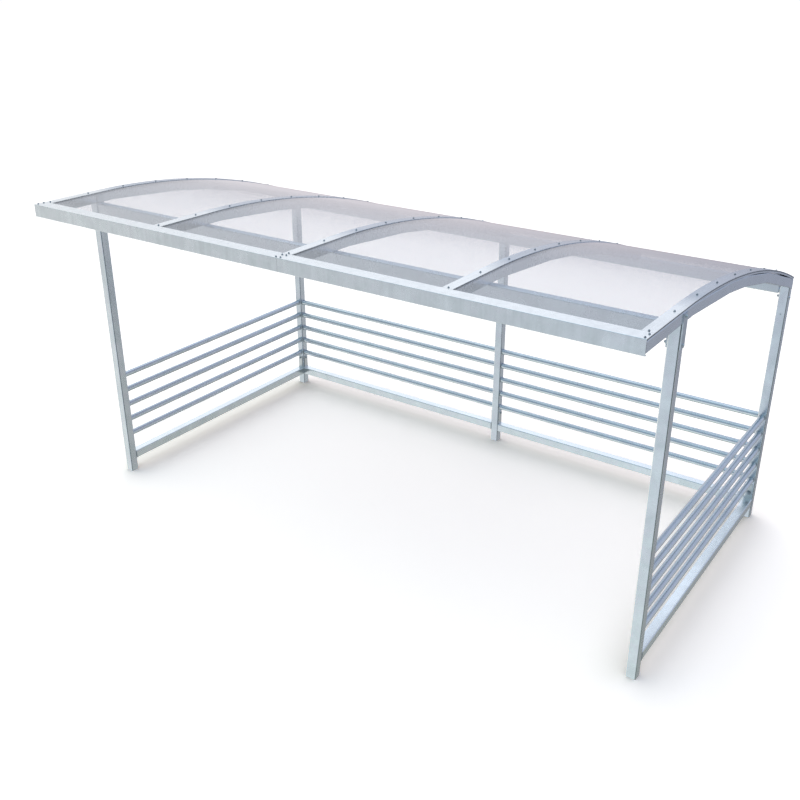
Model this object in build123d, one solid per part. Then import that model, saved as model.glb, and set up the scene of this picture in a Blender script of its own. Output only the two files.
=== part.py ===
from build123d import *
import math
import os

# ---------------------------------------------------------------------------
# Open bike shelter: five square posts, five roof ribs bent in straight lengths, two purlins, a
# folded front fascia, four curved clear roof sheets that lie on bearing strips
# and are held down by five flat cover strips, and low rail fences on the left,
# the back and the right.
#
# Millimetres. +Z up. X runs along the length, Y from the front (open) side
# to the back. The origin is on the ground, at the middle of the roof plan.
#
# The pieces are drawn in a working frame with X = 0 at the left posts' outer
# face and Y = 0 at the front posts' front face, and moved to the origin by
# place() at the end.
# ---------------------------------------------------------------------------

# overall layout
LENGTH = 4100.0          # left post's outer face to right post's outer face
DEPTH = 2080.0           # front post's front face to back post's back face
ROOF_FRONT = 434.0       # fascia's front face ahead of the front posts
ROOF_BACK = 2080.0       # rear edge of the roof

# steel sections (square tubes with rounded corners)
POST = 60.0              # square posts
POST_R = 7.0             # outer corner radius of the posts
RIB = 60.0               # roof ribs, square
TUBE_R = 6.0             # outer corner radius of ribs, purlins and base rails
PURLIN_W = 50.0          # purlins, depth along Y
FRONT_PURLIN_H = 80.0    # front purlin, height
REAR_PURLIN_H = 70.0     # rear purlin, height
BASE_RAIL = 60.0         # base rail, square
RAIL_D = 40.0            # round rails

# heights above the ground
SEAT_FRONT = 2051.5      # underside of the ribs over the front posts
FRONT_PURLIN_Y = 2.5     # front purlin's front face
REAR_PURLIN_Y = 2025.0   # rear purlin's front face
REAR_PURLIN_Z = 1628.5   # rear purlin's underside, on the middle back post
RAIL_Z = [295.8, 414.1, 532.4, 650.7, 769.0]   # centre lines of the round rails
BASE_RAIL_TOP = 150.5

# roof skin
SHEET_T = 5.0            # clear sheet
STRIP_T = 3.0            # cover strip
STRIP_W = 60.0           # cover strip, width
ARC_Y0 = 55.0            # where the flat front of the roof turns into the arc
ARC_R = 5480.0           # radius of the strips' top surface
ROOF_TOP = 2122.5        # top of the strips on the flat front part
SHEET_GAP = 8.0          # gap between neighbouring sheets over each rib
BEARING_W = 60.0         # bearing strip between rib and sheet, width
BEARING_T = 9.0          # its thickness under the arc

# ribs: a flat front part, then straight lengths whose upper corners touch the
# underside of the bearing strips
RIB_FRONT = -428.0
RIB_KNEE = 152.0         # where the flat part ends, on the upper edge
RIB_BENDS = [712.0, 1011.0, 1436.0, 2000.0]   # upper edge's corners

# front fascia, a folded section
FASCIA_T = 4.0
FASCIA_BOTTOM = 2043.5
FLANGE_BACK = 348.0      # back edge of the top flange, ahead of the front posts
FASCIA_LIP = 12.0        # return lip at the bottom
FASCIA_R = 2.5           # outer bend radius

# fixings
PLATE_T = 6.0            # post-head plates
PLATE_W = 50.0
PLATE_Z = (1928.0, 2103.0)
LUG_T = 6.0              # lugs that bolt the base rails to the posts
LUG_W = 36.0
LUG_H = 108.0
PURLIN_GAP = 8.0         # shadow gap round each purlin's spigot
SPIGOT = 30.0            # spigot, along Y

Y_MID = (ROOF_BACK - ROOF_FRONT) / 2.0
ZC = ROOF_TOP - ARC_R    # height of the roof arc's centre line

os.makedirs("parts", exist_ok=True)


def place(shape):
    return Pos(-LENGTH / 2.0, -Y_MID, 0) * shape


def save(shape, name):
    export_step(place(shape), "parts/%s.step" % name)


def block(x0, x1, y0, y1, z0, z1):
    return Pos((x0 + x1) / 2, (y0 + y1) / 2, (z0 + z1) / 2) * Box(x1 - x0, y1 - y0, z1 - z0)


def tube_bar(x0, x1, y0, y1, z0, z1, axis, r):
    """A square bar with rounded edges along one axis."""
    b = block(x0, x1, y0, y1, z0, z1)
    return fillet(b.edges().filter_by(axis), r)


def along_x(face, x0, x1):
    """Extrude a section drawn in (Y, Z) from x0 to x1."""
    solid = extrude(face, amount=x1 - x0)
    return Plane(origin=(x0, 0, 0), x_dir=(0, 1, 0), z_dir=(1, 0, 0)) * solid


def polygon(points):
    return make_face(Polyline(*points, close=True))


def side_prism(points, x0, x1):
    return along_x(polygon(points), x0, x1)


def arc_z(y, down=0.0):
    """Height at y of the surface `down` below the strips' top."""
    if y <= ARC_Y0:
        return ROOF_TOP - down
    r = ARC_R - down
    return ZC + math.sqrt(r * r - (y - ARC_Y0) ** 2)


def curve(y0, y1, down):
    """Arc on the surface `down` below the strips' top, from y0 to y1."""
    r = ARC_R - down
    a0, a1 = [math.asin((y - ARC_Y0) / r) for y in (y0, y1)]
    pts = [(ARC_Y0 + r * math.sin(a), ZC + r * math.cos(a)) for a in (a0, (a0 + a1) / 2, a1)]
    return ThreePointArc(*pts)


def curves(y0, y1, down, parts):
    """The same arc, drawn in several equal parts."""
    ys = [y0 + (y1 - y0) * i / parts for i in range(parts + 1)]
    return [curve(a, b, down) for a, b in zip(ys, ys[1:])]


def skin(y_front, y_back, top, thick, x0, x1):
    """Band that follows the roof: flat in front, curved behind, cut upright at the back."""
    bot = top + thick
    p = (y_front, ROOF_TOP - top)
    q = (y_front, ROOF_TOP - bot)
    edges = [Line(p, (ARC_Y0, ROOF_TOP - top)), curve(ARC_Y0, y_back, top),
             Line((y_back, arc_z(y_back, top)), (y_back, arc_z(y_back, bot))),
             curve(ARC_Y0, y_back, bot), Line((ARC_Y0, ROOF_TOP - bot), q), Line(q, p)]
    return along_x(make_face(edges), x0, x1)


def rod(p, q, d):
    """A round rail from p to q."""
    v = Vector(*q) - Vector(*p)
    return Plane(origin=p, z_dir=v) * Pos(0, 0, v.length / 2) * Cylinder(d / 2, v.length)


x_right = LENGTH - POST
x_mid = LENGTH / 2 - POST / 2
y_back = DEPTH - POST

# --- the ribs' side outline -------------------------------------------------
# The upper edge is a run of straight lengths. The lower edge is the same run
# moved in by the rib's depth.
RIB_DOWN = STRIP_T + SHEET_T + BEARING_T
rib_top = [(RIB_FRONT, SEAT_FRONT + RIB), (RIB_KNEE, SEAT_FRONT + RIB)]
rib_top += [(y, arc_z(y, RIB_DOWN)) for y in RIB_BENDS + [ROOF_BACK]]


def moved_in(points, depth):
    """The same open run of lines, moved down square to itself, with mitred corners."""
    normals = []
    for (y0, z0), (y1, z1) in zip(points, points[1:]):
        n = math.hypot(y1 - y0, z1 - z0)
        normals.append(((z1 - z0) / n, -(y1 - y0) / n))
    out = []
    for i, (y, z) in enumerate(points):
        if i in (0, len(points) - 1):
            ny, nz = normals[0] if i == 0 else normals[-1]
            # the ends are cut upright
            out.append((y, z + depth / nz))
        else:
            (a, b), (c, d) = normals[i - 1], normals[i]
            k = depth / (1 + a * c + b * d)
            out.append((y + k * (a + c), z + k * (b + d)))
    return out


rib_low = moved_in(rib_top, RIB)
print("rib lower edge", [(round(y, 1), round(z, 1)) for y, z in rib_low])


def rib(x0):
    """One rib: its side outline extruded, with all the long edges rounded."""
    s = side_prism(rib_top + rib_low[::-1], x0, x0 + RIB)
    long_edges = [e for e in s.edges()
                  if abs(e.tangent_at(0.5).X) < 0.5 and e.length > RIB * 1.12]
    return fillet(long_edges, TUBE_R)


pitch = (LENGTH - RIB) / 4
rib_x = [i * pitch for i in range(5)]            # left face of each rib
rib_c = [x + RIB / 2 for x in rib_x]

# everything above the ribs' lower edge near the back posts
above_back = side_prism(
    [p for p in rib_low if p[0] > 1800.0] + [(ROOF_BACK + 1.0, rib_low[-1][1] - 0.4),
     (ROOF_BACK + 1.0, 2400.0), (rib_low[-2][0], 2400.0)], -50.0, LENGTH + 50.0)

# --- posts ------------------------------------------------------------------


def post(x0, y0, z1):
    return tube_bar(x0, x0 + POST, y0, y0 + POST, 0, z1, Axis.Z, POST_R)


save(post(0, 0, SEAT_FRONT), "post_front_left")
save(post(x_right, 0, SEAT_FRONT), "post_front_right")
save(post(0, y_back, 1800.0) - above_back, "post_back_left")
save(post(x_right, y_back, 1800.0) - above_back, "post_back_right")
save(post(x_mid, y_back, REAR_PURLIN_Z), "post_back_centre")

# --- purlins ----------------------------------------------------------------
# Each purlin runs from corner post to corner post. It stops a shadow gap
# short of them, on a smaller spigot.


def purlin(y0, z0, h, spigot_z0, spigot_z1, plate=0.0):
    bar = tube_bar(POST + PURLIN_GAP, x_right - PURLIN_GAP, y0, y0 + PURLIN_W, z0, z0 + h,
                   Axis.X, TUBE_R)
    yc, s = y0 + PURLIN_W / 2, SPIGOT / 2
    return (bar + block(POST + plate, POST + PURLIN_GAP + 20.0, yc - s, yc + s, spigot_z0, spigot_z1)
            + block(x_right - PURLIN_GAP - 20.0, x_right - plate, yc - s, yc + s, spigot_z0,
                    spigot_z1))


front_z0 = SEAT_FRONT - FRONT_PURLIN_H
save(purlin(FRONT_PURLIN_Y, front_z0, FRONT_PURLIN_H, front_z0 + 20.0, SEAT_FRONT - 20.0,
            PLATE_T), "front_purlin")
rear = purlin(REAR_PURLIN_Y, REAR_PURLIN_Z, REAR_PURLIN_H, REAR_PURLIN_Z + 4.0,
              REAR_PURLIN_Z + 26.0)
save(rear, "rear_purlin")

# --- roof ribs --------------------------------------------------------------
# The end ribs stand on the corner posts. The three between are notched over
# the rear purlin.
notch = block(-50.0, LENGTH + 50.0, REAR_PURLIN_Y, ROOF_BACK + 50.0, 1500.0,
              REAR_PURLIN_Z + REAR_PURLIN_H)
for i, x in enumerate(rib_x):
    r = rib(x)
    if 0 < i < 4:
        r = r - notch
    save(r, "roof_rib_%d" % (i + 1))

# --- front fascia -----------------------------------------------------------
# A folded section: top flange over the sheets' front edge, tall front face,
# and a short return lip at the bottom. Two lengths meet over the middle rib.
yf = -ROOF_FRONT
zt = ROOF_TOP
t = FASCIA_T


def fascia(x0, x1):
    s = side_prism([
        (yf, FASCIA_BOTTOM), (yf, zt), (-FLANGE_BACK, zt), (-FLANGE_BACK, zt - STRIP_T),
        (yf + t, zt - STRIP_T), (yf + t, FASCIA_BOTTOM + t),
        (yf + FASCIA_LIP, FASCIA_BOTTOM + t), (yf + FASCIA_LIP, FASCIA_BOTTOM)], x0, x1)
    bends = [e for e in s.edges().filter_by(Axis.X)
             if abs(e.center().Y - yf) < 0.01]
    return fillet(bends, FASCIA_R)


save(fascia(0.0, LENGTH / 2 - 0.5), "fascia_left")
save(fascia(LENGTH / 2 + 0.5, LENGTH), "fascia_right")

# --- roof sheets ------------------------------------------------------------
for i in range(4):
    x0 = 0.0 if i == 0 else rib_c[i] + SHEET_GAP / 2
    x1 = LENGTH if i == 3 else rib_c[i + 1] - SHEET_GAP / 2
    save(skin(yf + t + 1.0, ROOF_BACK, STRIP_T, SHEET_T, x0, x1), "roof_sheet_%d" % (i + 1))

# --- cover strips -----------------------------------------------------------
half = STRIP_W / 2
for i, c in enumerate(rib_c):
    save(skin(-FLANGE_BACK + 0.5, ROOF_BACK, 0.0, STRIP_T, c - half, c + half),
         "cover_strip_%d" % (i + 1))

# --- bearing strips ---------------------------------------------------------
# Flat bars under the sheets. They follow the roof, and the ribs' straight
# lengths leave shallow gaps below them.
down = STRIP_T + SHEET_T
z_flat = ROOF_TOP - down
y_bs = RIB_FRONT + 6.0
y_be = ROOF_BACK - 4.0
z_rib = SEAT_FRONT + RIB


def first_length(y):
    """Upper edge of the rib's first inclined length."""
    (y0, z0), (y1, z1) = rib_top[1], rib_top[2]
    return z0 + (z1 - z0) * (y - y0) / (y1 - y0)


lo, hi = RIB_KNEE, 450.0
for _ in range(80):
    mid = (lo + hi) / 2
    if first_length(mid) > arc_z(mid, RIB_DOWN):
        lo = mid
    else:
        hi = mid
y_lift = (lo + hi) / 2
print("bearing strip leaves the rib at y =", round(y_lift, 1))
for i, c in enumerate(rib_c):
    face = make_face([
        Line((y_bs, z_rib), (y_bs, z_flat)),
        Line((y_bs, z_flat), (ARC_Y0, z_flat)),
        curve(ARC_Y0, y_be, down),
        Line((y_be, arc_z(y_be, down)), (y_be, arc_z(y_be, RIB_DOWN))),
        curve(y_lift, y_be, RIB_DOWN),
        Line((y_lift, arc_z(y_lift, RIB_DOWN)), (RIB_KNEE, z_rib)),
        Line((RIB_KNEE, z_rib), (y_bs, z_rib))])
    save(along_x(face, c - BEARING_W / 2, c + BEARING_W / 2), "bearing_strip_%d" % (i + 1))


def pair(a, b):
    return Compound(children=[a, b])


# --- post-head plates -------------------------------------------------------
# Two flat plates at each front corner, one on either side of the post head and
# the rib.
py0, py1 = (POST - PLATE_W) / 2, (POST + PLATE_W) / 2
for side, x0 in (("left", 0.0), ("right", x_right)):
    save(pair(block(x0 - PLATE_T, x0, py0, py1, *PLATE_Z),
              block(x0 + POST, x0 + POST + PLATE_T, py0, py1, *PLATE_Z)),
         "head_plates_%s" % side)


# --- base rails -------------------------------------------------------------
zb1 = BASE_RAIL_TOP
zb0 = zb1 - BASE_RAIL
c_l, c_r = POST / 2, LENGTH - POST / 2
c_b = DEPTH - POST / 2
h = BASE_RAIL / 2
save(tube_bar(c_l - h, c_l + h, POST, y_back, zb0, zb1, Axis.Y, TUBE_R), "base_rail_left")
save(tube_bar(c_r - h, c_r + h, POST, y_back, zb0, zb1, Axis.Y, TUBE_R), "base_rail_right")
save(tube_bar(POST, x_mid, c_b - h, c_b + h, zb0, zb1, Axis.X, TUBE_R), "base_rail_back_left")
save(tube_bar(x_mid + POST, x_right, c_b - h, c_b + h, zb0, zb1, Axis.X, TUBE_R),
     "base_rail_back_right")

# --- round rails ------------------------------------------------------------


def rails(p, q):
    return Compound(children=[rod((p[0], p[1], z), (q[0], q[1], z), RAIL_D) for z in RAIL_Z])


save(rails((c_l, POST), (c_l, y_back)), "rails_left")
save(rails((c_r, POST), (c_r, y_back)), "rails_right")
save(rails((POST, c_b), (x_mid, c_b)), "rails_back_left")
save(rails((x_mid + POST, c_b), (x_right, c_b)), "rails_back_right")

# --- lugs -------------------------------------------------------------------
# A flat lug stands on each end of a base rail and is bolted to the post.
lz0, lz1 = zb1, zb1 + LUG_H
s = LUG_W / 2
for name, c in (("left", c_l), ("right", c_r)):
    save(pair(block(c - s, c + s, POST, POST + LUG_T, lz0, lz1),
              block(c - s, c + s, y_back - LUG_T, y_back, lz0, lz1)), "rail_lugs_%s" % name)
for name, xa, xb in (("back_left", POST, x_mid), ("back_right", x_mid + POST, x_right)):
    save(pair(block(xa, xa + LUG_T, c_b - s, c_b + s, lz0, lz1),
              block(xb - LUG_T, xb, c_b - s, c_b + s, lz0, lz1)), "rail_lugs_%s" % name)
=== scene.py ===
import math

import bmesh
import bpy
from mathutils import Matrix, Vector, noise


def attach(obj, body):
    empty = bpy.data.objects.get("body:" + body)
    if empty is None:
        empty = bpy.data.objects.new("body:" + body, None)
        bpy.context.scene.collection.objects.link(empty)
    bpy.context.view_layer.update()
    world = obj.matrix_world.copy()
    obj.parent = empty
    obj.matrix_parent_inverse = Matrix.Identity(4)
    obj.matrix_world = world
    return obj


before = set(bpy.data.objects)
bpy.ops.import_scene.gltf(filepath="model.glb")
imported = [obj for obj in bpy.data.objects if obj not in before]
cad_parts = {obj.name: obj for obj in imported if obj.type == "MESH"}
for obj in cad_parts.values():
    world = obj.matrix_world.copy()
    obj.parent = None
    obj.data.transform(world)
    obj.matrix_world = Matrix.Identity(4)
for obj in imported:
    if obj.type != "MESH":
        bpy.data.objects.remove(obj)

SC = bpy.context.scene
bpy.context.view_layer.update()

# ---------------------------------------------------------------------------
# Numbers shared with the part. Working frame in metres: x from the left posts'
# outer face, y from the front posts' front face. at() moves into the model.
# ---------------------------------------------------------------------------
LENGTH, DEPTH = 4.100, 2.080
POST, RIB, RAIL_R = 0.060, 0.060, 0.020
SEAT_FRONT = 2.0515
ARC_Y0, ARC_R, ROOF_TOP = 0.055, 5.480, 2.1225
ZC = ROOF_TOP - ARC_R
RAIL_Z = (0.2958, 0.4141, 0.5324, 0.6507, 0.7690)
BASE_Z0, BASE_Z1 = 0.0905, 0.1505
REAR_Z0 = 1.6285
Y_MID = (2.080 - 0.434) / 2
RIB_C = [0.030 + i * 1.010 for i in range(5)]


def at(x, y, z):
    return Vector((x - LENGTH / 2, y - Y_MID, z))


def roof_z(y, down=0.0):
    if y <= ARC_Y0:
        return ROOF_TOP - down
    r = ARC_R - down
    return ZC + math.sqrt(r * r - (y - ARC_Y0) ** 2)


def roof_normal(y):
    if y <= ARC_Y0:
        return Vector((0, 0, 1))
    s = (y - ARC_Y0) / ARC_R
    return Vector((0, s, math.sqrt(1 - s * s)))


# ---------------------------------------------------------------------------
# Camera
# ---------------------------------------------------------------------------
cam_data = bpy.data.cameras.new("camera")
cam_data.lens = 43.4558
cam_data.sensor_width = 36.0
cam_data.clip_end = 300.0
cam = bpy.data.objects.new("camera", cam_data)
SC.collection.objects.link(cam)
cam.location = at(5.4097, -4.0962, 3.5927)
cam.rotation_euler = (math.radians(65.0), 0.0, math.radians(35.0))
SC.camera = cam

SC.view_settings.view_transform = "Standard"
SC.view_settings.look = "None"
SC.view_settings.exposure = 0.0
SC.view_settings.gamma = 1.0

# ---------------------------------------------------------------------------
# Small node helpers
# ---------------------------------------------------------------------------


class Tree:
    """Short-hand for building a node tree."""

    def __init__(self, tree):
        self.t = tree
        tree.nodes.clear()

    def n(self, kind, props=None, **inputs):
        node = self.t.nodes.new(kind)
        for k, v in (props or {}).items():
            setattr(node, k, v)
        for k, v in inputs.items():
            self.put(node, k.replace("_", " "), v)
        return node

    def put(self, node, key, v):
        sock = node.inputs[int(key)] if isinstance(key, int) or key.isdigit() else node.inputs[key]
        if hasattr(v, "is_output"):
            self.t.links.new(v, sock)
        else:
            sock.default_value = v
        return node

    def math(self, op, a, b=None, c=None, clamp=False):
        node = self.t.nodes.new("ShaderNodeMath")
        node.operation = op
        node.use_clamp = clamp
        for i, v in enumerate((a, b, c)):
            if v is not None:
                self.put(node, i, v)
        return node.outputs[0]

    def vmath(self, op, a, b=None, out="Vector"):
        node = self.t.nodes.new("ShaderNodeVectorMath")
        node.operation = op
        self.put(node, 0, a)
        if b is not None:
            self.put(node, 1, b)
        return node.outputs[out]

    def ramp(self, fac, stops, mode="LINEAR"):
        node = self.t.nodes.new("ShaderNodeValToRGB")
        node.color_ramp.interpolation = mode
        el = node.color_ramp.elements
        while len(el) < len(stops):
            el.new(0.5)
        for e, (p, c) in zip(el, stops):
            e.position = p
            e.color = c if len(c) == 4 else (*c, 1.0)
        self.t.links.new(fac, node.inputs[0])
        return node.outputs[0]

    def range(self, v, a, b, c, d):
        node = self.t.nodes.new("ShaderNodeMapRange")
        node.clamp = True
        for i, x in enumerate((v, a, b, c, d)):
            self.put(node, i, x)
        return node.outputs[0]

    def mix(self, fac, a, b, blend="MIX"):
        node = self.t.nodes.new("ShaderNodeMix")
        node.data_type = "RGBA"
        node.blend_type = blend
        self.put(node, 0, fac)
        self.put(node, 6, a)
        self.put(node, 7, b)
        return node.outputs[2]

    def noise(self, vec, scale, detail=3.0, rough=0.5, distort=0.0):
        node = self.t.nodes.new("ShaderNodeTexNoise")
        self.t.links.new(vec, node.inputs["Vector"])
        node.inputs["Scale"].default_value = scale
        node.inputs["Detail"].default_value = detail
        node.inputs["Roughness"].default_value = rough
        node.inputs["Distortion"].default_value = distort
        return node.outputs[0]

    def mapped(self, vec, scale=(1, 1, 1), loc=(0, 0, 0), rot=(0, 0, 0)):
        node = self.t.nodes.new("ShaderNodeMapping")
        self.t.links.new(vec, node.inputs["Vector"])
        node.inputs["Location"].default_value = loc
        node.inputs["Rotation"].default_value = rot
        node.inputs["Scale"].default_value = scale
        return node.outputs[0]


def srgb(h, k=1.0):
    """#RRGGBB to linear."""
    out = []
    for i in (0, 2, 4):
        c = int(h[i:i + 2], 16) / 255.0
        out.append(k * (c / 12.92 if c <= 0.04045 else ((c + 0.055) / 1.055) ** 2.4))
    return tuple(out) + (1.0,)


def new_material(name):
    m = bpy.data.materials.new(name)
    m.use_nodes = True
    return m, Tree(m.node_tree)


# ---------------------------------------------------------------------------
# Studio light: a soft world made of broad lobes, and a pale floor
# ---------------------------------------------------------------------------
# azimuth (degrees from +X to +Y), elevation, sharpness, colour
LOBES = [
    (-135, -58, 9, (0.400, 0.500, 0.450)),
    (-90, -58, 9, (0.350, 0.353, 0.305)),
    (-45, -58, 9, (0.077, 0.071, 0.047)),
    (0, -58, 9, (0.141, 0.221, 0.205)),
    (45, -58, 9, (0.180, 0.220, 0.240)),
    (90, -58, 9, (0.129, 0.145, 0.070)),
    (135, -58, 9, (0.080, 0.080, 0.090)),
    (-180, -22, 7.5, (1.250, 1.260, 1.180)),
    (-135, -22, 7.5, (0.417, 0.417, 0.434)),
    (-90, -22, 7.5, (0.528, 0.592, 0.680)),
    (45, -22, 7.5, (0.340, 0.320, 0.294)),
    (90, -22, 7.5, (0.030, 0.030, 0.071)),
    (135, -22, 7.5, (0.430, 0.380, 0.400)),
    (-67.5, 9, 7.5, (0.000, 0.000, 0.003)),
    (22.5, 9, 7.5, (0.354, 0.423, 0.459)),
    (67.5, 9, 7.5, (0.214, 0.281, 0.398)),
    (112.5, 9, 7.5, (0.225, 0.205, 0.215)),
    (157.5, 9, 7.5, (0.060, 0.060, 0.100)),
    (-180, 38, 6, (0.693, 0.691, 0.580)),
    (-120, 38, 6, (0.000, 0.098, 0.230)),
    (-60, 38, 6, (0.389, 0.496, 0.554)),
    (0, 38, 6, (0.040, 0.009, 0.000)),
    (60, 38, 6, (0.088, 0.086, 0.113)),
    (120, 38, 6, (0.640, 0.740, 0.810)),
    (30, 68, 6, (0.240, 0.201, 0.375)),
    (150, 68, 6, (0.295, 0.352, 0.435)),
    (270, 68, 6, (0.523, 0.734, 0.763)),
]
FLOOR_COLOUR = (1.835, 1.57, 1.383)
FLOOR_GLOW = 0.0

world = bpy.data.worlds.new("studio")
SC.world = world
world.use_nodes = True
W = Tree(world.node_tree)
direction = W.n("ShaderNodeTexCoord").outputs["Generated"]
total = None
for az, el, k, rgb in LOBES:
    a, e = math.radians(az), math.radians(el)
    d = (math.cos(e) * math.cos(a), math.cos(e) * math.sin(a), math.sin(e))
    dot = W.vmath("DOT_PRODUCT", direction, d, out="Value")
    w = W.math("EXPONENT", W.math("MULTIPLY_ADD", dot, k, -k))
    comb = W.vmath("SCALE", rgb)
    comb.node.inputs["Scale"].default_value = 1.0
    W.t.links.new(w, comb.node.inputs["Scale"])
    total = comb if total is None else W.vmath("ADD", total, comb)
soft = W.n("ShaderNodeBackground", Strength=1.0)
W.t.links.new(total, soft.inputs["Color"])
plain = W.n("ShaderNodeBackground", Color=(1.0, 1.0, 1.0, 1.0), Strength=1.02)
path = W.n("ShaderNodeLightPath")
mixw = W.n("ShaderNodeMixShader")
W.t.links.new(path.outputs["Is Camera Ray"], mixw.inputs[0])
W.t.links.new(soft.outputs[0], mixw.inputs[1])
W.t.links.new(plain.outputs[0], mixw.inputs[2])
outw = W.n("ShaderNodeOutputWorld")
W.t.links.new(mixw.outputs[0], outw.inputs["Surface"])

fm, F = new_material("pale_floor")
fo = F.n("ShaderNodeOutputMaterial")
fd = F.n("ShaderNodeBsdfDiffuse")
# painted shade: ambient occlusion within 0.28 m darkens the floor's colour towards black, a painted
# contact shadow under the rails and at the post feet
ao = F.n("ShaderNodeAmbientOcclusion", {"samples": 6}, Distance=0.28)
painted_contact_shade = F.math("POWER", ao.outputs["AO"], 0.6)
F.t.links.new(F.mix(painted_contact_shade, (0.0, 0.0, 0.0, 1.0), (*FLOOR_COLOUR, 1.0)), fd.inputs["Color"])
fe = F.n("ShaderNodeEmission", Color=(1.0, 1.0, 1.0, 1.0), Strength=FLOOR_GLOW)
fa = F.n("ShaderNodeAddShader")
F.t.links.new(fd.outputs[0], fa.inputs[0])
F.t.links.new(fe.outputs[0], fa.inputs[1])
F.t.links.new(fa.outputs[0], fo.inputs["Surface"])
fmesh = bpy.data.meshes.new("floor")
S = 60.0
fmesh.from_pydata([(-S, -S, 0), (S, -S, 0), (S, S, 0), (-S, S, 0)], [], [(0, 1, 2, 3)])
floor = bpy.data.objects.new("floor", fmesh)
SC.collection.objects.link(floor)
floor.data.materials.append(fm)
floor.visible_glossy = False
floor.visible_diffuse = False

# ---------------------------------------------------------------------------
# Materials
# ---------------------------------------------------------------------------


def galvanised(name, light, dark, warm, rough, spangle=0.5, cloud_scale=9.0, streak=None,
               bump=0.25, metallic=1.0, seed=0.0, painted_light_tone=None, where="top"):
    """Hot-dip galvanised steel: soft clouds, faint zinc crystals, fine grain, thin streaks."""
    m, T = new_material(name)
    co = T.n("ShaderNodeTexCoord").outputs["Object"]
    co = T.mapped(co, loc=(seed, seed * 0.7, seed * 1.3))
    clouds = T.noise(co, cloud_scale, 5.0, 0.62, 0.4)
    hue = T.noise(T.mapped(co, loc=(3.1, 7.7, 1.3)), cloud_scale * 1.7, 4.0, 0.6, 0.6)
    vor = T.n("ShaderNodeTexVoronoi", {"feature": "F1"}, Scale=95.0, Randomness=1.0)
    warp = T.vmath("ADD", co, T.vmath("SCALE", T.n("ShaderNodeTexNoise", Scale=60.0).outputs["Color"]))
    warp.node.inputs[1].links[0].from_node.inputs["Scale"].default_value = 0.006
    T.t.links.new(warp, vor.inputs["Vector"])
    cell = T.n("ShaderNodeSeparateColor")
    T.t.links.new(vor.outputs["Color"], cell.inputs[0])
    crystal = cell.outputs[0]
    base = T.ramp(clouds, [(0.30, dark), (0.52, tuple((a + b) / 2 for a, b in zip(light, dark))),
                           (0.72, light)])
    base = T.mix(T.range(hue, 0.42, 0.70, 0.0, 0.55), base, (*warm, 1.0))
    if painted_light_tone:
        # painted light, a second tone that stands in for how light falls: with where=top it is set on the
        # level upper faces (world normal), a painted highlight where it is lighter and painted shade
        # where it is darker; with where=front it is a painted highlight ahead of the bend over the front
        # posts (world Y), fading out over 0.2 m
        geo = T.n("ShaderNodeNewGeometry")
        part = T.n("ShaderNodeSeparateXYZ")
        if where == "top":
            T.t.links.new(geo.outputs["Normal"], part.inputs[0])
            painted_light_mask = T.range(part.outputs["Z"], 0.85, 0.97, 0.0, 1.0)
        else:
            T.t.links.new(geo.outputs["Position"], part.inputs[0])
            painted_light_mask = T.range(part.outputs["Y"], ARC_Y0 - Y_MID - 0.03, ARC_Y0 - Y_MID + 0.18, 1.0, 0.0)
        painted_tone = T.ramp(clouds, [(0.30, tuple(0.93 * c for c in painted_light_tone)), (0.72, painted_light_tone)])
        base = T.mix(painted_light_mask, base, painted_tone)
    grain = T.noise(co, 240.0, 2.0, 0.7)
    tone = T.math("MULTIPLY_ADD", crystal, 0.06 * spangle, 1.0 - 0.03 * spangle)
    tone = T.math("MULTIPLY", tone, T.range(grain, 0.3, 0.7, 0.985, 1.015))
    if streak:
        s = T.noise(T.mapped(co, scale=streak), 1.0, 4.0, 0.65, 0.2)
        tone = T.math("MULTIPLY", tone, T.range(s, 0.30, 0.70, 0.93, 1.06))
    cv = T.n("ShaderNodeCombineColor")
    for i in range(3):
        T.t.links.new(tone, cv.inputs[i])
    base = T.mix(1.0, base, cv.outputs[0], "MULTIPLY")
    r = T.range(clouds, 0.25, 0.75, rough + 0.07, rough - 0.05)
    r = T.math("ADD", r, T.math("MULTIPLY_ADD", crystal, 0.05 * spangle, -0.025 * spangle))
    h = T.math("ADD", T.math("MULTIPLY", crystal, 0.08 * spangle),
               T.math("ADD", T.math("MULTIPLY", grain, 0.06), T.math("MULTIPLY", clouds, 1.6)))
    b = T.n("ShaderNodeBump", Strength=bump, Distance=0.0015)
    T.t.links.new(h, b.inputs["Height"])
    p = T.n("ShaderNodeBsdfPrincipled", Metallic=metallic)
    T.t.links.new(base, p.inputs["Base Color"])
    T.t.links.new(r, p.inputs["Roughness"])
    T.t.links.new(b.outputs[0], p.inputs["Normal"])
    o = T.n("ShaderNodeOutputMaterial")
    T.t.links.new(p.outputs[0], o.inputs["Surface"])
    return m


def plastic(name, col, rough, bump_scale=300.0, bump=0.1, spread=0.15):
    m, T = new_material(name)
    co = T.n("ShaderNodeTexCoord").outputs["Object"]
    n1 = T.noise(co, bump_scale, 3.0, 0.6)
    n2 = T.noise(co, 22.0, 4.0, 0.6)
    base = T.mix(T.range(n2, 0.3, 0.7, 0.0, 1.0), tuple(c * (1 - spread) for c in col) + (1.0,),
                 tuple(c * (1 + spread) for c in col) + (1.0,))
    b = T.n("ShaderNodeBump", Strength=bump, Distance=0.0008)
    T.t.links.new(n1, b.inputs["Height"])
    p = T.n("ShaderNodeBsdfPrincipled")
    T.t.links.new(base, p.inputs["Base Color"])
    T.t.links.new(T.range(n2, 0.3, 0.7, rough - 0.06, rough + 0.08), p.inputs["Roughness"])
    T.t.links.new(b.outputs[0], p.inputs["Normal"])
    o = T.n("ShaderNodeOutputMaterial")
    T.t.links.new(p.outputs[0], o.inputs["Surface"])
    return m


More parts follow.
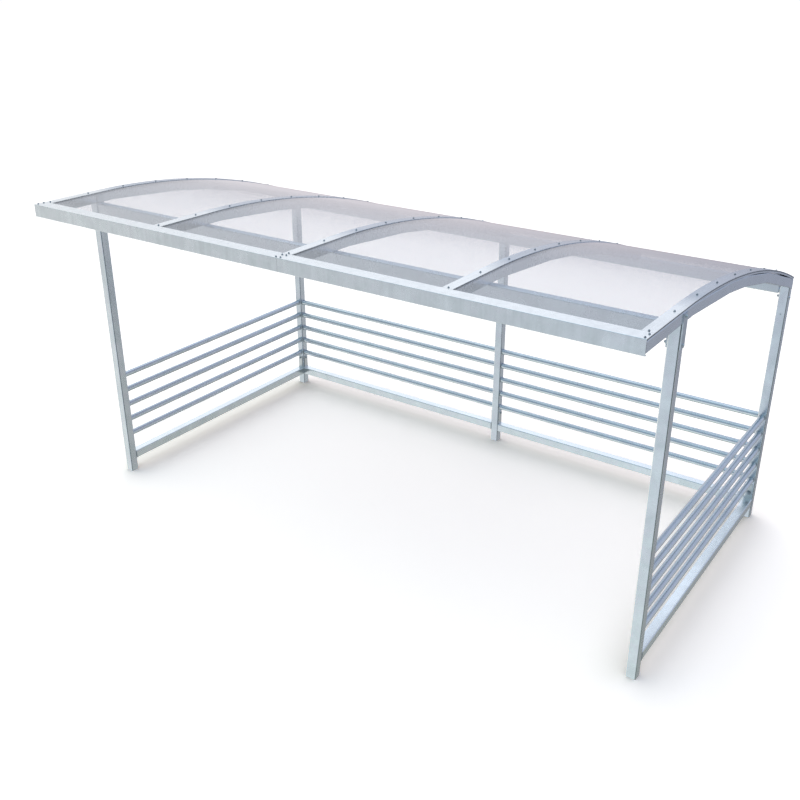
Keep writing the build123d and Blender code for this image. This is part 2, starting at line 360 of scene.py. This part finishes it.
def clear_sheet(name):
    """Thin clear sheet: see-through, with the gloss of its two faces that grows at flat angles."""
    m, T = new_material(name)
    co = T.n("ShaderNodeTexCoord").outputs["Object"]
    n1 = T.noise(co, 5.0, 3.0, 0.55)
    n2 = T.noise(T.mapped(co, scale=(1.0, 6.0, 6.0)), 30.0, 3.0, 0.6)
    b = T.n("ShaderNodeBump", Strength=0.004, Distance=0.002)
    T.t.links.new(n1, b.inputs["Height"])
    face = T.n("ShaderNodeLayerWeight", Blend=0.5)
    gloss = T.math("MULTIPLY_ADD", T.math("POWER", face.outputs["Facing"], 5.0), 0.96, 0.04)
    gloss = T.math("ADD", gloss, T.range(face.outputs["Facing"], 0.76, 0.93, 0.0, 0.30), clamp=True)
    tr = T.n("ShaderNodeBsdfTransparent", Color=(0.868, 0.864, 0.878, 1.0))
    gl = T.n("ShaderNodeBsdfGlossy", Color=(1.0, 1.0, 1.0, 1.0))
    T.t.links.new(T.range(n2, 0.3, 0.7, 0.05, 0.08), gl.inputs["Roughness"])
    T.t.links.new(b.outputs[0], gl.inputs["Normal"])
    body = T.n("ShaderNodeMixShader")
    T.t.links.new(gloss, body.inputs[0])
    T.t.links.new(tr.outputs[0], body.inputs[1])
    T.t.links.new(gl.outputs[0], body.inputs[2])
    # sawn edges: duller and darker than the faces
    geo = T.n("ShaderNodeNewGeometry")
    nz = T.n("ShaderNodeSeparateXYZ")
    T.t.links.new(geo.outputs["True Normal"], nz.inputs[0])
    edge = T.math("LESS_THAN", T.math("ABSOLUTE", nz.outputs["Z"]), 0.5)
    ep = T.n("ShaderNodeBsdfPrincipled", Base_Color=(0.10, 0.115, 0.13, 1.0))
    T.t.links.new(T.range(n1, 0.3, 0.7, 0.18, 0.30), ep.inputs["Roughness"])
    fin = T.n("ShaderNodeMixShader")
    T.t.links.new(edge, fin.inputs[0])
    T.t.links.new(body.outputs[0], fin.inputs[1])
    T.t.links.new(ep.outputs[0], fin.inputs[2])
    o = T.n("ShaderNodeOutputMaterial")
    T.t.links.new(fin.outputs[0], o.inputs["Surface"])
    return m


STEEL = galvanised("galvanised_tube", (0.80, 0.85, 0.88), (0.67, 0.72, 0.75), (0.75, 0.73, 0.81),
                   0.25, spangle=0.5, cloud_scale=9.0, bump=0.16)
# painted shade: the rail tubes take a darker, bluer tone on their upper faces, standing in for how light
# falls there
RAILM = galvanised("galvanised_rail", (0.80, 0.85, 0.88), (0.67, 0.72, 0.75), (0.75, 0.73, 0.81),
                   0.25, spangle=0.4, cloud_scale=9.0, bump=0.14, seed=13.0,
                   painted_light_tone=(0.51, 0.58, 0.655))
# painted light: the base rails take a near-white tone on their upper faces
BASEM = galvanised("galvanised_base_rail", (0.86, 0.92, 0.93), (0.73, 0.79, 0.80),
                   (0.84, 0.83, 0.89), 0.25, spangle=0.3, cloud_scale=9.0, bump=0.08, seed=1.0,
                   painted_light_tone=(0.94, 0.97, 1.0))
RIBM = galvanised("galvanised_rib", (0.78, 0.83, 0.88), (0.67, 0.72, 0.77), (0.74, 0.73, 0.80),
                  0.26, spangle=0.45, cloud_scale=7.0, bump=0.16, seed=2.0)
# painted light: the fascia takes a white tone on its level upper faces, the flange
FASCIAM = galvanised("galvanised_fascia", (0.80, 0.84, 0.87), (0.68, 0.72, 0.74), (0.76, 0.76, 0.81),
                     0.28, spangle=0.55, cloud_scale=9.0, bump=0.18, streak=(26.0, 26.0, 2.2), seed=4.0,
                     painted_light_tone=(1.0, 1.0, 1.0))
# painted highlight: the cover strips take a white tone ahead of the bend over the front posts, fading out
# behind it
STRIPM = galvanised("galvanised_strip", (0.65, 0.69, 0.75), (0.57, 0.61, 0.67), (0.61, 0.62, 0.69),
                    0.26, spangle=0.5, cloud_scale=10.0, streak=(30.0, 3.0, 3.0), seed=6.0,
                    painted_light_tone=(1.0, 1.0, 1.0), where="front")
PLATEM = galvanised("zinc_plate", (0.70, 0.75, 0.80), (0.52, 0.58, 0.62), (0.62, 0.62, 0.70),
                    0.38, spangle=0.5, cloud_scale=20.0, seed=8.0)
BOLTM = galvanised("zinc_bolt", (0.50, 0.55, 0.60), (0.34, 0.39, 0.43), (0.42, 0.42, 0.47),
                   0.42, spangle=0.2, cloud_scale=60.0, seed=9.0)
WELDM = galvanised("weld_zinc", (0.66, 0.71, 0.74), (0.44, 0.48, 0.51), (0.52, 0.52, 0.58),
                   0.45, spangle=0.2, cloud_scale=80.0, bump=0.5, seed=10.0)
# painted shade and light: a darker copy of the galvanised steel standing in for the shade the purlins sit
# in under the roof, with a lighter, bluer painted-light tone on their upper faces
PURLINM = galvanised("galvanised_purlin", (0.70, 0.745, 0.77), (0.60, 0.645, 0.67),
                     (0.66, 0.65, 0.71), 0.27, spangle=0.4, cloud_scale=8.0, bump=0.14, seed=11.0,
                     painted_light_tone=(0.72, 0.88, 1.0))
LUGM = galvanised("zinc_lug", (0.80, 0.82, 0.80), (0.70, 0.72, 0.70), (0.74, 0.72, 0.74),
                  0.34, spangle=0.4, cloud_scale=20.0, bump=0.16, seed=12.0)
SHEETM = clear_sheet("clear_plastic")
RUBBERM = plastic("black_rubber", (0.022, 0.024, 0.027), 0.62)
CAPM = plastic("black_plastic", (0.030, 0.032, 0.035), 0.48)


def paint(node, material):
    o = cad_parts.get(node)
    if o is None:
        return
    if not o.material_slots:
        o.data.materials.append(material)
    for s in o.material_slots:
        s.material = material


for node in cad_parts:
    if node.startswith("roof_sheet"):
        paint(node, SHEETM)
    elif node.startswith("cover_strip"):
        paint(node, STRIPM)
    elif node.startswith("fascia"):
        paint(node, FASCIAM)
    elif node.startswith("bearing_strip"):
        paint(node, RIBM)
    elif node.startswith("head_plate"):
        paint(node, PLATEM)
    elif node.startswith("rail_lugs"):
        paint(node, LUGM)
    elif node.startswith("rails_"):
        paint(node, RAILM)
    elif node.endswith("purlin"):
        paint(node, PURLINM)
    elif node.startswith("roof_rib"):
        paint(node, RIBM)
    elif node.startswith("base_rail"):
        paint(node, BASEM)
    else:
        paint(node, STEEL)

# ---------------------------------------------------------------------------
# Small parts: built as joined meshes
# ---------------------------------------------------------------------------


def piece(name, bm, material, smooth=40.0):
    me = bpy.data.meshes.new(name)
    bmesh.ops.recalc_face_normals(bm, faces=bm.faces)
    bm.to_mesh(me)
    bm.free()
    o = bpy.data.objects.new(name, me)
    SC.collection.objects.link(o)
    me.materials.append(material)
    me.polygons.foreach_set("use_smooth", [True] * len(me.polygons))
    me.set_sharp_from_angle(angle=math.radians(smooth))
    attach(o, "root")
    return o


def basis(origin, axis, spin=0.0):
    """Matrix whose local Z is `axis`, placed at origin."""
    z = Vector(axis).normalized()
    ref = Vector((1, 0, 0)) if abs(z.x) < 0.9 else Vector((0, 1, 0))
    x = (ref - z * ref.dot(z)).normalized()
    y = z.cross(x)
    c, s = math.cos(spin), math.sin(spin)
    x2, y2 = x * c + y * s, y * c - x * s
    m = Matrix((x2, y2, z)).transposed().to_4x4()
    m.translation = origin
    return m


def lathe(bm, profile, mat, sides=20):
    """Turned shape: profile is [(radius, height)] from the bottom up, closed at both ends."""
    rings = []
    for r, h in profile:
        if r < 1e-6:
            rings.append([bm.verts.new(mat @ Vector((0, 0, h)))])
        else:
            rings.append([bm.verts.new(mat @ Vector((r * math.cos(2 * math.pi * i / sides),
                                                     r * math.sin(2 * math.pi * i / sides), h)))
                          for i in range(sides)])
    for a, b in zip(rings, rings[1:]):
        if len(a) == 1:
            for i in range(sides):
                bm.faces.new((a[0], b[i], b[(i + 1) % sides]))
        elif len(b) == 1:
            for i in range(sides):
                bm.faces.new((a[i], b[0], a[(i + 1) % sides]))
        else:
            for i in range(sides):
                j = (i + 1) % sides
                bm.faces.new((a[i], a[j], b[j], b[i]))
    for ring in (rings[0], rings[-1]):
        if len(ring) > 1:
            bm.faces.new(ring)


def hex_head(bm, mat, af, h, base=0.0):
    """Hexagon head with chamfered upper corners."""
    n = 24
    rows = []
    for frac, z, trim in ((1.0, base, None), (1.0, base + h * 0.72, None), (1.0, base + h, 0.93)):
        row = []
        for i in range(n):
            a = 2 * math.pi * i / n
            k = a % (math.pi / 3) - math.pi / 6
            r = (af / 2) / math.cos(k)
            if trim:
                r = min(r, af / 2 * trim)
            row.append(bm.verts.new(mat @ Vector((r * math.cos(a), r * math.sin(a), z))))
        rows.append(row)
    for a, b in zip(rows, rows[1:]):
        for i in range(n):
            j = (i + 1) % n
            bm.faces.new((a[i], a[j], b[j], b[i]))
    bm.faces.new(rows[0])
    bm.faces.new(rows[-1])


def roof_screw(bm, rub, pos, normal, spin):
    """Self-drilling screw: rubber ring, dished steel washer and a flanged hexagon head."""
    m = basis(pos, normal, spin)
    lathe(rub, [(0.0050, 0.0), (0.0054, 0.0005), (0.0050, 0.0010)], m, 20)
    lathe(bm, [(0.0058, 0.0010), (0.0058, 0.0016), (0.0042, 0.0023), (0.0042, 0.0019)], m, 20)
    lathe(bm, [(0.0046, 0.0018), (0.0046, 0.0026), (0.0040, 0.0030)], m, 20)
    hex_head(bm, m, 0.0068, 0.0032, base=0.0026)


def bolt(bm, pos, normal, af=0.018, h=0.0075, washer=0.0125, spin=0.0):
    m = basis(pos, normal, spin)
    lathe(bm, [(washer, 0.0), (washer, 0.0022), (washer - 0.0006, 0.0026)], m, 28)
    hex_head(bm, m, af, h, base=0.0026)


def nut(bm, pos, normal, af=0.018, h=0.010, washer=0.0125, spin=0.0):
    m = basis(pos, normal, spin)
    lathe(bm, [(washer, 0.0), (washer, 0.0022), (washer - 0.0006, 0.0026)], m, 28)
    hex_head(bm, m, af, h, base=0.0026)
    lathe(bm, [(0.0058, 0.0), (0.0058, 0.0026 + h + 0.005), (0.0048, 0.0026 + h + 0.006)], m, 16)


# --- screws in the cover strips and the fascia flange ------------------------
STRIP_Y = (-0.334, -0.035, 0.260, 0.553, 0.850, 1.143, 1.426, 1.717, 1.990)
bm, rub = bmesh.new(), bmesh.new()
k = 0
for c in RIB_C:
    for y in STRIP_Y:
        k += 1
        roof_screw(bm, rub, at(c, y, roof_z(y)), roof_normal(y), 0.7 * k)
FLANGE = [(4.086, -0.417), (4.0865, -0.371), (0.0125, -0.4125), (0.0156, -0.373),
          (2.034, -0.419), (2.066, -0.419), (2.037, -0.372), (2.066, -0.372)]
for x, y in FLANGE:
    k += 1
    roof_screw(bm, rub, at(x, y, ROOF_TOP), (0, 0, 1), 0.7 * k)
piece("roof_screws", bm, BOLTM, 30)
piece("roof_screw_seals", rub, RUBBERM, 30)

# --- bolts through the post-head plates ---------------------------------------
bm = bmesh.new()
for side in (-1, 1):
    xo = LENGTH + 0.006 if side > 0 else -0.006
    xi = LENGTH - POST - 0.006 if side > 0 else POST + 0.006
    for z in (1.946, 2.088):
        bolt(bm, at(xo, 0.030, z), (side, 0, 0), 0.013, 0.0040, 0.0090, spin=z * 9.0)
    nut(bm, at(xi, 0.030, 1.946), (-side, 0, 0), 0.019, 0.008, 0.0145)
    # through the back corner post, just below the rear purlin
    xi = LENGTH - POST if side > 0 else POST
    xo = LENGTH if side > 0 else 0.0
    nut(bm, at(xi, 2.050, 1.6070), (-side, 0, 0), 0.017, 0.008, 0.0105)
    bolt(bm, at(xo, 2.050, 1.6070), (side, 0, 0), 0.013, 0.0030, 0.0085)
# a small blind rivet in the front face of the right back post
m = basis(at(LENGTH - 0.030, DEPTH - POST, 1.498), (0, -1, 0))
lathe(bm, [(0.0048, 0.0), (0.0046, 0.0008), (0.0036, 0.0016), (0.0012, 0.0020), (0.0012, 0.0014)], m, 20)
piece("head_plate_bolts", bm, PLATEM, 30)

# --- bolts through the lugs ---------------------------------------------------
LUG_BOLT = 0.245
bm = bmesh.new()
L2 = LENGTH / 2
for x in (0.030, LENGTH - 0.030):
    bolt(bm, at(x, POST + 0.006, LUG_BOLT), (0, 1, 0), 0.013, 0.0055, 0.0090)
    if x < L2:
        bolt(bm, at(x, DEPTH - POST - 0.006, LUG_BOLT), (0, -1, 0), 0.013, 0.0055, 0.0090)
    else:
        # the right rear lug carries a larger nut and washer, low down; drawn over-size in dark zinc, they
        # also stand in for the shade round the nut, so they are partly painted shade
        nut(bm, at(x, DEPTH - POST - 0.006, 0.196), (0, -1, 0), 0.022, 0.011, 0.0160)
for xa, xb in ((POST, L2 - 0.030), (L2 + 0.030, LENGTH - POST)):
    bolt(bm, at(xa + 0.006, DEPTH - 0.030, LUG_BOLT), (1, 0, 0), 0.013, 0.0055, 0.0090)
    bolt(bm, at(xb - 0.006, DEPTH - 0.030, LUG_BOLT), (-1, 0, 0), 0.013, 0.0055, 0.0090)
piece("lug_bolts", bm, BOLTM, 30)

# --- weld beads -----------------------------------------------------------------


def bead(bm, points, normals, radius=0.0028, closed=True, sides=8, seed=0.0, pitch=0.004):
    """A rippled bead that follows points; normals point away from the surfaces it joins."""
    n = len(points)
    rings = []
    run = 0.0
    for i in range(n):
        p = points[i]
        q = points[(i + 1) % n] if (closed or i < n - 1) else points[i]
        o = points[i - 1] if (closed or i > 0) else points[i]
        t = (q - o).normalized()
        up = normals[i]
        up = (up - t * up.dot(t)).normalized()
        sd = t.cross(up)
        if i:
            run += (p - points[i - 1]).length
        wob = noise.noise(Vector((run * 60.0, seed, 0.3)))
        r = radius * (1.0 + 0.16 * math.sin(2 * math.pi * run / pitch) + 0.22 * wob)
        rings.append([bm.verts.new(p + sd * (r * math.cos(2 * math.pi * j / sides))
                                   + up * (r * math.sin(2 * math.pi * j / sides)))
                      for j in range(sides)])
    last = n if closed else n - 1
    for i in range(last):
        a, b = rings[i], rings[(i + 1) % n]
        for j in range(sides):
            jj = (j + 1) % sides
            bm.faces.new((a[j], b[j], b[jj], a[jj]))
    if not closed:
        bm.faces.new(rings[0])
        bm.faces.new(rings[-1])


def ring_points(centre, axis, radius, n=56):
    m = basis(centre, axis)
    pts = [m @ Vector((radius * math.cos(2 * math.pi * i / n), radius * math.sin(2 * math.pi * i / n), 0))
           for i in range(n)]
    a = Vector(axis).normalized()
    nrm = [((p - centre).normalized() + a).normalized() for p in pts]
    return pts, nrm


def square_points(centre, axis, half, r, step=0.0022):
    """Rounded-square loop round `axis`."""
    m = basis(centre, axis)
    pts, nrm = [], []
    a = Vector(axis).normalized()
    for q in range(4):
        ang = q * math.pi / 2
        c, s = math.cos(ang), math.sin(ang)
        n_side = max(2, int((2 * half - 2 * r) / step))
        for i in range(n_side):
            v = -half + r + (2 * half - 2 * r) * i / n_side
            x, y = half, v
            pts.append((x * c - y * s, x * s + y * c))
            nrm.append((c, s))
        for i in range(4):
            w = math.pi / 2 * i / 4
            x, y = half - r + r * math.cos(w), half - r + r * math.sin(w)
            pts.append((x * c - y * s, x * s + y * c))
            nrm.append((math.cos(w) * c - math.sin(w) * s, math.cos(w) * s + math.sin(w) * c))
    P = [m @ Vector((x, y, 0)) for x, y in pts]
    m3 = m.to_3x3()
    N = [(m3 @ Vector((x, y, 0)) + a).normalized() for x, y in nrm]
    return P, N


bm = bmesh.new()
seed = 0.0
ends = []
for x in (0.030, LENGTH - 0.030):
    ends += [((x, POST), (0, 1, 0)), ((x, DEPTH - POST), (0, -1, 0))]
for xa, xb in ((POST, L2 - 0.030), (L2 + 0.030, LENGTH - POST)):
    ends += [((xa, DEPTH - 0.030), (1, 0, 0)), ((xb, DEPTH - 0.030), (-1, 0, 0))]
for (x, y), ax in ends:
    for z in RAIL_Z:
        seed += 1.7
        P, N = ring_points(at(x, y, z), ax, RAIL_R + 0.0006)
        bead(bm, P, N, 0.0027, seed=seed)
piece("rail_welds", bm, WELDM, 50)

bm = bmesh.new()
for (x, y), ax in ends:
    seed += 1.7
    P, N = square_points(at(x, y, (BASE_Z0 + BASE_Z1) / 2), ax, 0.0300, 0.006)
    # the bead sits on the rail's end, drawn in from the post's rounded corners
    bead(bm, P, N, 0.0026, seed=seed)
piece("base_rail_welds", bm, WELDM, 50)
